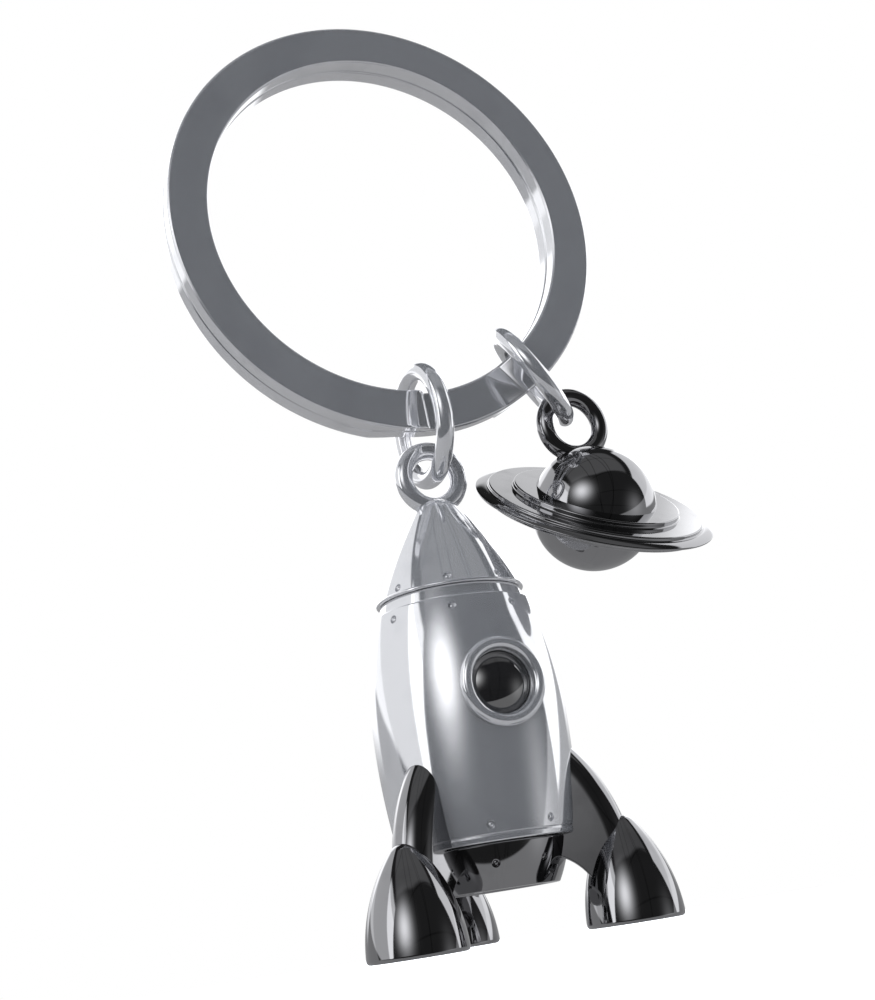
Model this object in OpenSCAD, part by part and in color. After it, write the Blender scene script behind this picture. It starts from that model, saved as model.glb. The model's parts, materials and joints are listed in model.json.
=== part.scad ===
// Key ring charm: a flat split ring that carries a rocket and a ringed planet on two jump rings.
// Millimetres. The origin is the split ring's centre, +Z is up and the rocket's porthole faces -Y.

/* [Split ring] */
// Outside diameter of the split ring
ring_od = 35; // [34:0.5:36]
// Radial width of the flat band
band_w = 3.15; // [2.9:0.05:3.3]
// Thickness of the two layers together
ring_t = 3; // [2.8:0.1:3.2]
// Hairline gap between the two layers
seam = 0.06; // [0.04:0.01:0.1]
// Angle of the front layer's end, from the ring's lowest point toward +X
front_end = 0; // [-1:0.5:0.5]
// Angle of the back layer's end
back_end = 25; // [23:0.5:25]
// Angle of the fold where the front layer steps back
fold_angle = 34; // [33.5:0.5:35]

/* [Jump rings] */
// Centreline radius of both jump rings
link_r = 4.2; // [4.1:0.05:4.3]
// Wire diameter of both jump rings
link_wire = 1.42; // [1.3:0.02:1.44]
// Drop of a jump ring's centre below the middle of the band
link_drop = 0.9; // [0.8:0.05:1]
// Angle round the split ring where the rocket hangs
rocket_at = 2.8; // [2.6:0.1:3.2]
// Angle round the split ring where the planet hangs
planet_at = 40.5; // [39.5:0.5:41]
// Twist of the planet's jump ring about the split ring's radius
planet_link_twist = -26.5; // [-30:0.5:-24]
// Lean of the planet's jump ring along the band
planet_link_lean = 6.65; // [5:0.05:8]

/* [Rocket] */
// Height of the hull's widest point above the feet
belly_z = 15.12; // [15:0.02:15.3]
// Largest hull diameter
hull_d = 14.15; // [14:0.05:14.3]
// Radius of the hull's long lower curve
lower_curve = 52; // [50:1:56]
// Radius of the hull's upper curve
upper_curve = 31.2; // [30.6:0.2:32]
// Height of the hull's lower edge
hull_z0 = 6.65; // [6.5:0.05:6.8]
// Height of the hull's upper edge
hull_z1 = 23.9; // [23.7:0.1:24]
// Height of the nose cone's lower edge
nose_z = 24.83; // [24.8:0.01:24.9]
// Radius of the nose cone's lower edge
nose_r = 5.4; // [5.3:0.05:5.45]
// Radius of the nose cone's curve
nose_curve = 30; // [28:1:32]
// Radius of the rounded nose tip
nose_tip_r = 2.2; // [2:0.1:2.3]
// Height of the nose tip
nose_top = 32.6; // [32.5:0.05:32.7]
// Height of the nozzle's lower edge
nozzle_z = 3.56; // [3.5:0.02:3.7]
// Radius of the nozzle's upper edge
nozzle_r1 = 5.75; // [5.6:0.05:5.8]
// Radius of the nozzle's lower edge
nozzle_r0 = 4.6; // [4.5:0.05:4.7]

/* [Fins and feet] */
// Thickness of a fin, and of its round outer edge
fin_t = 3.1; // [3:0.05:3.2]
// Radius of a fin's outer edge
fin_curve = 13.1; // [13:0.05:13.2]
// Radius of the arch under a fin
arch_r = 4.1; // [4:0.05:4.2]
// Distance of a foot's axis from the rocket's axis
foot_at = 9.375; // [9.3:0.025:9.45]
// Radius of a foot at the ground
foot_r = 3.45; // [3.4:0.05:3.5]
// Radius of a foot's side curve
foot_curve = 11; // [10.8:0.1:11.2]
// Radius of a foot's rounded tip
foot_tip_r = 1.3; // [1.2:0.05:1.4]

/* [Porthole] */
// Height of the porthole's centre above the feet
porthole_z = 17.23; // [17:0.05:17.5]
// Outside radius of the bezel
bezel_r = 3.15; // [3.05:0.05:3.2]
// Distance of the bezel's front from the rocket's axis
bezel_front = 7.42; // [7.38:0.02:7.46]
// Radius of the lens
lens_r = 2.2; // [2.15:0.01:2.25]
// Distance of the lens's crown from the rocket's axis
lens_front = 7.34; // [7.3:0.02:7.38]

/* [Planet] */
// Radius of the globe
globe_r = 4.96; // [4.9:0.02:5]
// Outside radius of the planet's ring
halo_r = 9.55; // [9.4:0.05:9.6]
// Radius of the middle step of the planet's ring
halo_step_r = 8.6; // [8.5:0.05:8.7]
// Radius of the inner step of the planet's ring
halo_core_r = 6.64; // [6.5:0.02:6.8]
// Tilt of the planet's ring from level
halo_tilt = 37.2; // [35:0.2:39]
// Direction of that tilt, from +X
halo_heading = -81.1; // [-85:0.1:-75]

/* [Eyelets and rivets] */
// Centreline radius of the rocket's eyelet
rocket_eye_r = 2.22; // [2.18:0.02:2.3]
// Centreline radius of the planet's eyelet
planet_eye_r = 2.42; // [2.38:0.02:2.5]
// Wire diameter of both eyelets
eye_wire = 1.38; // [1.3:0.02:1.4]
// Diameter of a rivet's head
rivet_d = 0.52; // [0.48:0.02:0.54]
// Diameter of the recess round a rivet's head
rivet_recess_d = 0.64; // [0.6:0.02:0.68]

/* [Hidden] */
$fn = 96;
LONG_CURVE_FN = 360;

NICKEL = [0.80, 0.80, 0.82];
BLACK_NICKEL = [0.22, 0.22, 0.24];
BLACK_GLASS = [0.05, 0.05, 0.06];

// Split ring
ring_r = ring_od / 2;
band_in = ring_r - band_w;
band_mid = ring_r - band_w / 2;
layer_t = (ring_t - seam) / 2;
fold_len = 4;                          // angle over which the two levels of a fold overlap
seam_angle = 0.3;                      // angle between a thinned end and the fold it lies over

// Jump rings and what hangs on them
link_c = band_mid + link_drop;
rocket_eye_drop = 4.29;                // from a jump ring's centre to the rocket eyelet's centre
planet_eye_offset = [2.775, 0, -4.195];
rocket_eye_pos = [link_c * sin(rocket_at), 0, -link_c * cos(rocket_at) - rocket_eye_drop];
planet_eye_pos = [link_c * sin(planet_at), 0, -link_c * cos(planet_at)] + planet_eye_offset;
globe_pos = planet_eye_pos + [0.54, 0, -7.02];

// Rocket: heights are above the feet, distances are from its axis
eye_z = 34.31;
eye_shank_d = 1.2;
eye_shank = 2.6;
rocket_pos = rocket_eye_pos - [0, 0, eye_z];
hull_r = hull_d / 2;
fit = 0.02;                            // gap between pieces that are fixed together
collar_r = 5.52;
collar_top_r = 5.24;
nose_spigot_r = 3;
nose_spigot_z = 21.9;
nozzle_spigot_r = 3.5;
nozzle_spigot_z = 9.5;
nozzle_curve = 10.5;
bell_r = 3.7;
bell_throat_r = 2.2;
bell_depth = 2.2;
groove_z = 7.12;
groove_w = 0.14;
bead_r = 0.13;
lens_curve = 3.6;
bezel_bead_r = 0.43;
bezel_ledge = 0.35;
pocket_r = 2.6;
pocket_floor = 5.3;

// Fins and feet, in the fin's own plane
FIN_ANGLES = [-150, -30, 90];
spine_pos = [-3, 4.1];
arch_pos = [3.33, 1.37];
fin_z0 = 3.2;
edge_r = fin_curve - fin_t / 2;         // centreline of the round outer edge
tongue = [2.1, 1.4, 3];
tongue_pos = [5.2, 7.6];
foot_tip_z = sqrt(pow(foot_curve - foot_tip_r, 2) - pow(foot_curve - foot_r, 2));
foot_edge = 0.25;

// Planet's ring
halo_lift = 0.1;
halo_rim_t = 0.6;
halo_web_t = 0.44;
halo_step_t = 1.2;
halo_core_t = 2.1;

// Rivets
rivet_sink = 0.1;
rivet_dome = 0.14;
rivet_shank_r = 0.18;
rivet_len = 1.1;
nose_rivet_z = 25.47;
upper_rivet_z = 23.1;
lower_rivet_z = 7.75;
nozzle_rivet_z = 5.25;
EIGHT_ROUND = [for (k = [0 : 7]) -67.5 + 45 * k];
SIX_ROUND = [for (a = [-90, 30, 150], side = [-20, 20]) a + side];

// Centre of the circle of radius r that passes through p and keeps a distance s from q.
// It lies to the left of the way from p to q.
function curve_centre(p, r, q, s) =
    let (gap = q - p, d = norm(gap), along = (r * r - s * s + d * d) / (2 * d))
    p + (along * gap + sqrt(r * r - along * along) * [-gap.y, gap.x]) / d;

// Distance from the axis, and slope from level, of the curve with centre c and radius r at height z
function curve_x(c, r, z) = c.x + sqrt(r * r - pow(z - c.y, 2));
function curve_slope(c, r, z) = asin((z - c.y) / r);

lower_c = [hull_r - lower_curve, belly_z];
upper_c = [hull_r - upper_curve, belly_z];
nose_tip_c = [0, nose_top - nose_tip_r];
nose_c = curve_centre([nose_r, nose_z], nose_curve, nose_tip_c, nose_curve - nose_tip_r);
nozzle_c = curve_centre([nozzle_r0, nozzle_z], nozzle_curve, [nozzle_r1, hull_z0], nozzle_curve);
foot_c = [foot_r - foot_curve, 0];

// ---- Shared shapes ----

// Closed loop of round wire about the Z axis
module wire_loop(r, d) {
    rotate_extrude() translate([r, 0]) circle(d = d, $fn = 48);
}

// Area between heights z0 and z1, from the axis out to the curve with centre c and radius r
module under_curve(c, r, z0, z1) {
    intersection() {
        translate(c) circle(r = r, $fn = LONG_CURVE_FN);
        translate([0, z0]) square([c.x + r + 1, z1 - z0]);
    }
}

// Area under the curve of a pointed body that ends in a round tip
module under_pointed_curve(c, r, tip_c, tip_r, z0) {
    touch_z = c.y + (tip_c.y - c.y) * r / (r - tip_r);
    under_curve(c, r, z0, touch_z);
    under_curve(tip_c, tip_r, tip_c.y, tip_c.y + tip_r + 1);
}

// Puts its children at a rivet's place, with +Z out of the surface
module on_surface(c, r, z, around) {
    for (a = around)
        rotate([0, 0, a])
            translate([curve_x(c, r, z), 0, z])
                rotate([0, 90 - curve_slope(c, r, z), 0])
                    children();
}

module rivet() {
    head_curve = (pow(rivet_d / 2, 2) + rivet_dome * rivet_dome) / (2 * rivet_dome);
    rotate_extrude() under_curve([0, rivet_dome - rivet_sink - head_curve], head_curve, -rivet_sink, 1);
    translate([0, 0, -rivet_len]) cylinder(r = rivet_shank_r, h = rivet_len - rivet_sink + 0.02, $fn = 24);
}

module rivet_hole() {
    translate([0, 0, -rivet_sink]) cylinder(d = rivet_recess_d, h = 1, $fn = 32);
    translate([0, 0, -rivet_len - fit]) cylinder(r = rivet_shank_r + fit, h = rivet_len, $fn = 24);
}

// ---- Split ring ----

// Direction of an angle counted from the ring's lowest point toward +X
function ring_dir(angle) = [sin(angle), -cos(angle)];

// Block from the ring's axis outward, between two angles less than 180 degrees apart
module wedge(a0, a1) {
    far = 3 * ring_r;
    translate([0, 0, -ring_t])
        linear_extrude(2 * ring_t)
            polygon([[0, 0], far * ring_dir(a0), far * ring_dir((a0 + a1) / 2), far * ring_dir(a1)]);
}

module band_layer(z0, z1) {
    translate([0, 0, z0])
        difference() {
            cylinder(r = ring_r, h = z1 - z0, $fn = 180);
            translate([0, 0, -1]) cylinder(r = band_in, h = ring_t + 2, $fn = 180);
        }
}

// One stretch of the flat band, from angle a0 to a1 and from depth z0 to z1 (front is positive)
module band_arc(z0, z1, a0, a1) {
    if (a1 - a0 > 180)
        difference() {
            band_layer(z0, z1);
            wedge(a1, a0 + 360);
        }
    else
        intersection() {
            band_layer(z0, z1);
            wedge(a0, a1);
        }
}

// The band runs from the front layer's end round to the fold, crosses at half depth under the links,
// folds down to the back layer and runs round again. Each end is thinned where it lies over a fold.
module split_ring() {
    half_t = layer_t / 2;
    color(NICKEL) rotate([90, 0, 0]) {
        band_arc(-half_t, half_t, front_end - fold_len, fold_angle);
        band_arc(seam / 2, ring_t / 2, fold_angle - fold_len, 360 + front_end - fold_len - seam_angle);
        band_arc(half_t + seam, ring_t / 2, front_end - 2 * fold_len, front_end);
        band_arc(-ring_t / 2, -seam / 2, fold_angle + seam_angle, 360 + front_end);
        band_arc(-ring_t / 2, -half_t - seam, back_end, fold_angle + fold_len);
    }
}

// ---- Jump rings ----

module at_band(angle) {
    rotate([0, -angle, 0]) translate([0, 0, -link_c]) children();
}

module jump_ring_rocket() {
    color(NICKEL) at_band(rocket_at) rotate([0, 90, 0]) wire_loop(link_r, link_wire);
}

module jump_ring_planet() {
    color(NICKEL)
        at_band(planet_at)
            rotate([0, planet_link_lean, planet_link_twist])
                rotate([0, 90, 0])
                    wire_loop(link_r, link_wire);
}

// ---- Rocket ----

module in_rocket() {
    translate(rocket_pos) children();
}

// An eyelet that faces -Y with its centre at the origin, on a round shank
module eyelet(r, grow) {
    rotate([90, 0, 0]) wire_loop(r, eye_wire + 2 * grow);
    translate([0, 0, -r - eye_shank]) cylinder(d = eye_shank_d + 2 * grow, h = eye_shank, $fn = 32);
}

module rocket_eyelet() {
    color(NICKEL) in_rocket() translate([0, 0, eye_z]) eyelet(rocket_eye_r, 0);
}

module nose_cone() {
    color(NICKEL)
        in_rocket()
            difference() {
                union() {
                    rotate_extrude() {
                        under_pointed_curve(nose_c, nose_curve, nose_tip_c, nose_tip_r, nose_z);
                        translate([nose_r, nose_z + bead_r]) circle(r = bead_r, $fn = 32);
                    }
                    translate([0, 0, nose_spigot_z])
                        cylinder(r = nose_spigot_r, h = nose_z - nose_spigot_z + 0.5);
                }
                translate([0, 0, eye_z]) eyelet(rocket_eye_r, fit);
                on_surface(nose_c, nose_curve, nose_rivet_z, EIGHT_ROUND) rivet_hole();
            }
}

module nose_rivets() {
    color(NICKEL) in_rocket() on_surface(nose_c, nose_curve, nose_rivet_z, EIGHT_ROUND) rivet();
}

module collar() {
    color(NICKEL)
        in_rocket()
            translate([0, 0, hull_z1 + fit])
                difference() {
                    cylinder(r1 = collar_r, r2 = collar_top_r, h = nose_z - hull_z1 - 2 * fit);
                    translate([0, 0, -1]) cylinder(r = nose_spigot_r + fit, h = 3);
                }
}

// The hull's outside as a solid of revolution, grown by a little where another piece is cut to it
module hull_body(grow) {
    rotate_extrude() {
        under_curve(lower_c, lower_curve + grow, hull_z0 - grow, belly_z);
        under_curve(upper_c, upper_curve + grow, belly_z, hull_z1 + grow);
    }
}

module nozzle_body(grow) {
    rotate_extrude() under_curve(nozzle_c, nozzle_curve + grow, nozzle_z, hull_z0 - fit + grow);
}

// Puts its children in the porthole's frame: +Z out of the hull, starting at the rocket's axis
module in_porthole() {
    translate([0, 0, porthole_z]) rotate([90, 0, 0]) children();
}

// The key on a fin's inner edge that sits in a slot in the hull
module fin_tongue(grow) {
    translate([tongue_pos.x - grow, -tongue.y / 2 - grow, tongue_pos.y - grow])
        cube([tongue.x + grow, tongue.y + 2 * grow, tongue.z + 2 * grow]);
}

module hull_shell() {
    color(NICKEL)
        in_rocket()
            difference() {
                hull_body(0);
                rotate_extrude()
                    translate([curve_x(lower_c, lower_curve, groove_z) - groove_w, groove_z])
                        square([1, groove_w]);
                translate([0, 0, nose_spigot_z - fit]) cylinder(r = nose_spigot_r + fit, h = 5);
                translate([0, 0, hull_z0 - 1])
                    cylinder(r = nozzle_spigot_r + fit, h = nozzle_spigot_z + fit - hull_z0 + 1);
                in_porthole() translate([0, 0, pocket_floor]) cylinder(r = pocket_r + fit, h = 3);
                for (a = FIN_ANGLES)
                    rotate([0, 0, a]) fin_tongue(fit);
                on_surface(upper_c, upper_curve, upper_rivet_z, EIGHT_ROUND) rivet_hole();
                on_surface(lower_c, lower_curve, lower_rivet_z, SIX_ROUND) rivet_hole();
            }
}

module hull_upper_rivets() {
    color(NICKEL) in_rocket() on_surface(upper_c, upper_curve, upper_rivet_z, EIGHT_ROUND) rivet();
}

module hull_lower_rivets() {
    color(NICKEL) in_rocket() on_surface(lower_c, lower_curve, lower_rivet_z, SIX_ROUND) rivet();
}

// The bezel is a tube in the hull's pocket, with a rounded rim that sits on the hull's surface
module porthole_bezel() {
    bead_at = [bezel_r - bezel_bead_r, bezel_front - bezel_bead_r];
    color(NICKEL)
        in_rocket()
            difference() {
                in_porthole()
                    rotate_extrude()
                        difference() {
                            union() {
                                translate(bead_at) circle(r = bezel_bead_r, $fn = 48);
                                translate([lens_r + fit, pocket_floor])
                                    square([bezel_r - lens_r - fit, bead_at.y - pocket_floor]);
                            }
                            translate([lens_r, bead_at.y - bezel_ledge])
                                square([bead_at.x - bezel_bead_r - lens_r, 2]);
                        }
                difference() {
                    hull_body(fit);
                    in_porthole() cylinder(r = pocket_r, h = 10);
                }
            }
}

module porthole_lens() {
    color(BLACK_GLASS)
        in_rocket()
            in_porthole()
                rotate_extrude()
                    intersection() {
                        translate([0, lens_front - lens_curve]) circle(r = lens_curve, $fn = 180);
                        translate([0, pocket_floor + fit]) square([lens_r, 3]);
                    }
}

module nozzle() {
    color(BLACK_NICKEL)
        in_rocket()
            difference() {
                union() {
                    nozzle_body(0);
                    translate([0, 0, hull_z0 - 1])
                        cylinder(r = nozzle_spigot_r, h = nozzle_spigot_z - hull_z0 + 1);
                }
                translate([0, 0, nozzle_z - 0.01])
                    cylinder(r1 = bell_r, r2 = bell_throat_r, h = bell_depth);
                on_surface(nozzle_c, nozzle_curve, nozzle_rivet_z, SIX_ROUND) rivet_hole();
            }
}

module nozzle_rivets() {
    color(BLACK_NICKEL) in_rocket() on_surface(nozzle_c, nozzle_curve, nozzle_rivet_z, SIX_ROUND) rivet();
}

// ---- Fins and feet ----

// A flat blade with a full round edge and an arch below, grown by a little for the slot in its foot
module fin_blade(grow) {
    difference() {
        translate([spine_pos.x, 0, spine_pos.y])
            rotate([90, 0, 0])
                rotate_extrude($fn = 180) {
                    translate([0, -fin_t / 2 - grow]) square([edge_r, fin_t + 2 * grow]);
                    translate([edge_r, 0]) circle(d = fin_t + 2 * grow, $fn = 48);
                }
        translate([-40, -5, -20]) cube([40 + nozzle_r0, 10, 40]);
        translate([-20, -5, fin_z0 - grow - 20]) cube([40, 10, 20]);
        translate([arch_pos.x, 0, arch_pos.y])
            rotate([90, 0, 0])
                cylinder(r = arch_r - grow, h = 10, center = true);
    }
}

// The blade is cut to the hull and the nozzle, and keyed into the hull by a tongue
module fin(angle) {
    color(BLACK_NICKEL)
        in_rocket()
            rotate([0, 0, angle]) {
                difference() {
                    fin_blade(0);
                    hull_body(fit);
                    nozzle_body(fit);
                }
                fin_tongue(0);
            }
}

// A pointed foot with a slot that holds the end of its fin
module foot(angle) {
    color(BLACK_NICKEL)
        in_rocket()
            rotate([0, 0, angle])
                difference() {
                    translate([foot_at, 0, 0])
                        rotate_extrude()
                            difference() {
                                under_pointed_curve(foot_c, foot_curve, [0, foot_tip_z], foot_tip_r, 0);
                                translate([foot_r, 0]) rotate(45) square(foot_edge, center = true);
                            }
                    fin_blade(fit);
                }
}

// ---- Planet ----

module in_planet() {
    translate(globe_pos) children();
}

module planet_globe() {
    color(BLACK_NICKEL)
        difference() {
            in_planet() sphere(r = globe_r, $fn = 120);
            translate(planet_eye_pos) eyelet(planet_eye_r, fit);
        }
}

// A flat ring with two steps on each side and a rounded rim, bored to the globe
module planet_ring() {
    rim_r = halo_rim_t / 2;
    color(BLACK_NICKEL)
        in_planet()
            difference() {
                rotate([0, 0, halo_heading])
                    rotate([0, halo_tilt, 0])
                        translate([0, 0, halo_lift])
                            rotate_extrude() {
                                translate([halo_r - rim_r, 0]) circle(r = rim_r, $fn = 32);
                                translate([0, -halo_web_t / 2]) square([halo_r - rim_r, halo_web_t]);
                                translate([0, -halo_step_t / 2]) square([halo_step_r, halo_step_t]);
                                translate([0, -halo_core_t / 2]) square([halo_core_r, halo_core_t]);
                            }
                sphere(r = globe_r + fit, $fn = 120);
            }
}

module planet_eyelet() {
    color(BLACK_NICKEL) translate(planet_eye_pos) eyelet(planet_eye_r, 0);
}

split_ring();
jump_ring_rocket();
jump_ring_planet();
rocket_eyelet();
nose_cone();
nose_rivets();
collar();
hull_shell();  // hull
hull_upper_rivets();
hull_lower_rivets();
porthole_bezel();
porthole_lens();
nozzle();
nozzle_rivets();
fin(FIN_ANGLES[0]);  // fin_left
fin(FIN_ANGLES[1]);  // fin_right
fin(FIN_ANGLES[2]);  // fin_back
foot(FIN_ANGLES[0]);  // foot_left
foot(FIN_ANGLES[1]);  // foot_right
foot(FIN_ANGLES[2]);  // foot_back
planet_globe();
planet_ring();
planet_eyelet();
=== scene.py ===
"""A flat split ring with a polished rocket charm and a ringed planet charm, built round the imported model."""
import json
import math

import bpy
import numpy as np
from mathutils import Matrix, Vector


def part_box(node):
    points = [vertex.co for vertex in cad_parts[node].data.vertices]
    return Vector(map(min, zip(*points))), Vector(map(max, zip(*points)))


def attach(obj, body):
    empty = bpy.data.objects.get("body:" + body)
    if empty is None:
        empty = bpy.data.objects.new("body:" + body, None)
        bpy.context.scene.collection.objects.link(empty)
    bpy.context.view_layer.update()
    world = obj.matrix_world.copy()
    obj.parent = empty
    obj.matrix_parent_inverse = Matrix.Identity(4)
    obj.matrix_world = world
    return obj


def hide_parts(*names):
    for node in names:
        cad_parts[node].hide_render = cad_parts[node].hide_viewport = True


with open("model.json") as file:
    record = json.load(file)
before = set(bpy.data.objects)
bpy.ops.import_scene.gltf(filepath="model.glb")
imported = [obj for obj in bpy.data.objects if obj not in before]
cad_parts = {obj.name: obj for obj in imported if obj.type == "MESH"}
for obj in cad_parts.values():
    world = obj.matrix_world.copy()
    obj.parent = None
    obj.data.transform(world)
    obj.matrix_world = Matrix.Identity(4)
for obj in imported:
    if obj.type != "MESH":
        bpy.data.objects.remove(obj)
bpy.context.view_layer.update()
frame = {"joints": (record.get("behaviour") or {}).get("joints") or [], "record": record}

MM = 0.001
BODY_OF = {n: b for b, nodes in frame["record"]["behaviour"]["bodies"].items() for n in nodes}
JOINTS = {j["name"]: j for j in frame["joints"]}


# -------------------------------------------------------- places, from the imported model, in millimetres

def corners(node):
    """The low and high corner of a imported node's box."""
    lo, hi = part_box(node)
    return np.array(lo) / MM, np.array(hi) / MM


def middle(node):
    """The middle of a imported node's box."""
    lo, hi = corners(node)
    return (lo + hi) / 2


FEET_Z = corners("foot_left")[0][2]
ROCKET = np.array([middle("hull")[0], middle("hull")[1], FEET_Z])
ROCKET_EYE = np.array(JOINTS["rocket_swing"]["pos_m"]) / MM
PLANET_EYE = np.array(JOINTS["planet_swing"]["pos_m"]) / MM
GLOBE_R = (corners("planet_globe")[1][0] - corners("planet_globe")[0][0]) / 2
GLOBE = np.array([*middle("planet_globe")[:2], corners("planet_globe")[0][2] + GLOBE_R])
LINKS = {n: middle(n) for n in ("jump_ring_rocket", "jump_ring_planet")}

# -------------------------------------------------------- sizes, in millimetres and degrees

RING_R, BAND_W, RING_T, SEAM, BAND_EDGE = 17.5, 3.15, 3.0, 0.06, 0.24
BAND_FROM, BAND_TO = -3.5, 695.0                   # the band's two ends, in degrees of its winding
FRONT_TAPER, BACK_TAPER, END_T = 4.5, 2.2, 0.12
FOLD_AT, FOLD_LEN, FOLD_GAP = 322.5, 5.0, 38
FOLD_SKEW, FOLD_FLARE, FOLD_BEND = 3.5, 2.5, 0.15
LINK_R, LINK_WIRE_R = 4.2, 0.71
ROCKET_AT, PLANET_AT = 2.8, 40.5
PLANET_LINK_TWIST, PLANET_LINK_LEAN = -26.5, 6.65
ROCKET_EYE_R, PLANET_EYE_R, EYE_WIRE_R = 2.22, 2.42, 0.69

HULL_R, BELLY_Z, LOWER_CURVE, UPPER_CURVE = 7.075, 15.12, 52.0, 31.2
HULL_Z0, HULL_Z1, GROOVE_Z, GROOVE_R = 6.65, 23.9, 7.12, 0.08
COLLAR_R, COLLAR_IN, COLLAR_SLOPE = 5.52, 3.02, 17.0
NOSE_Z, NOSE_R, NOSE_CURVE, NOSE_TIP_R, NOSE_TOP = 24.83, 5.4, 30.0, 2.2, 32.6
BEAD_R, BEAD_END = 0.13, 75
NOZZLE_Z, NOZZLE_R0, NOZZLE_R1, NOZZLE_CURVE = 3.56, 4.6, 5.75, 10.5
BELL_R, BELL_THROAT_R, BELL_DEPTH = 3.7, 2.2, 2.2
FIN_ANGLES = {"left": -150, "right": -30, "back": 90}
FIN_T, FIN_EDGE, FIN_CURVE, SPINE = 3.1, 0.13, 13.1, np.array([-3.0, 4.1])
FIN_TOP, FIN_MEET = np.array([5.9, 11.9]), np.array([4.4, 5.33])    # the blade's inner edge inside the hull
ARCH, ARCH_R, ARCH_TOP, ARCH_FOOT = np.array([3.33, 1.37]), 4.1, 74.9, 12
SPINE_TOP, SPINE_MEET, SPINE_FOOT = 46, 30, -10
FOOT_AT, FOOT_R, FOOT_CURVE, FOOT_TIP_R = 9.375, 3.45, 11.0, 1.3
PORT_Z, BEZEL_R, BEZEL_FRONT, BEZEL_BEAD, BEAD_TUCK = 17.23, 3.15, 7.42, 0.43, 60
BEZEL_TAIL_R, BEZEL_TAIL_TOP, BEZEL_LEDGE = 2.6, 5.6, 0.3
LENS_R, LENS_FRONT, LENS_CURVE = 2.2, 7.34, 3.6
POCKET_R, POCKET_FLOOR, POCKET_TOP = 2.62, 5.3, 8
HALO_STEP_R, HALO_CORE_R, HALO_TILT, HALO_HEADING = 8.6, 6.64, 37.2, -81.1
HALO_LIFT, HALO_RIM_T, HALO_STEP_T, HALO_CORE_T = 0.1, 0.6, 1.2, 2.1
HALO_BORE, HALO_LIP_R, HALO_TIP_R = 4.4, 2.0, 0.1
RIVET_R, RIVET_RISE, RIVET_FLOOR, RIVET_SHANK = 0.19, 0.13, -0.16, -0.5
DIMPLE_FLOOR_R, DIMPLE_R, DIMPLE_DEPTH, DIMPLE_RIM, DIMPLE_TOP = 0.26, 0.31, 0.17, 0.02, 0.4
RIVET_ROWS = {"nose": 25.47, "upper": 23.1, "lower": 7.75, "nozzle": 5.25}
EIGHT_ROUND = [-67.5 + 45 * k for k in range(8)]
SIX_ROUND = [a + side for a in (-90, 30, 150) for side in (-20, 20)]
FIT = 0.02                                         # the gap left between pieces that seat on each other

ROUND_STEP = 10           # most degrees between samples of a tight arc
LONG_STEP = 0.22          # millimetres between samples of a long arc
CORNER_SAMPLES = 7        # samples round a fillet
SHARP_TURN = 0.05         # radians past which a joint gets a fillet
TURNS, FINE_TURNS, HALO_TURNS = 192, 256, 1024     # samples round a turned piece
SMALL_TURNS, RIVET_TURNS, DIMPLE_TURNS = 96, 40, 32
LOOP_TURNS, WIRE_SIDES = 160, 48                   # samples round a loop, and round its wire


# -------------------------------------------------------- outlines: points with their own outward normals

def unit(v):
    """The vector v at a length of 1."""
    v = np.asarray(v, float)
    return v / np.linalg.norm(v)


def polar(angle):
    """The unit vector at an angle in degrees."""
    return np.array([math.cos(math.radians(angle)), math.sin(math.radians(angle))])


class Line:
    """A straight stretch of an outline. What is solid lies on its left."""

    def __init__(self, start, end):
        self.start, self.end = np.array(start, float), np.array(end, float)

    def way(self, at_end=False):
        return unit(self.end - self.start)

    def trimmed(self, head, tail):
        u = self.way()
        return Line(self.start + u * head, self.end - u * tail)

    def sample(self):
        u = self.way()
        normal = np.array([u[1], -u[0]])
        return [(self.start, normal), (self.end, normal)]


class Arc:
    """A round stretch of an outline, from angle a0 to a1."""

    def __init__(self, centre, radius, a0, a1):
        self.centre, self.radius, self.a0, self.a1 = np.array(centre, float), radius, a0, a1
        self.sign = 1 if a1 > a0 else -1

    @property
    def start(self):
        return self.centre + self.radius * polar(self.a0)

    @property
    def end(self):
        return self.centre + self.radius * polar(self.a1)

    def way(self, at_end=False):
        c, s = polar(self.a1 if at_end else self.a0)
        return self.sign * np.array([-s, c])

    def trimmed(self, head, tail):
        turn = self.sign * math.degrees(1 / self.radius)
        return Arc(self.centre, self.radius, self.a0 + head * turn, self.a1 - tail * turn)

    def sample(self):
        step = min(ROUND_STEP, math.degrees(LONG_STEP / self.radius))
        count = max(3, math.ceil(abs(self.a1 - self.a0) / step) + 1)
        rays = [polar(a) for a in np.linspace(self.a0, self.a1, count)]
        return [(self.centre + self.radius * ray, self.sign * ray) for ray in rays]


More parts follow.
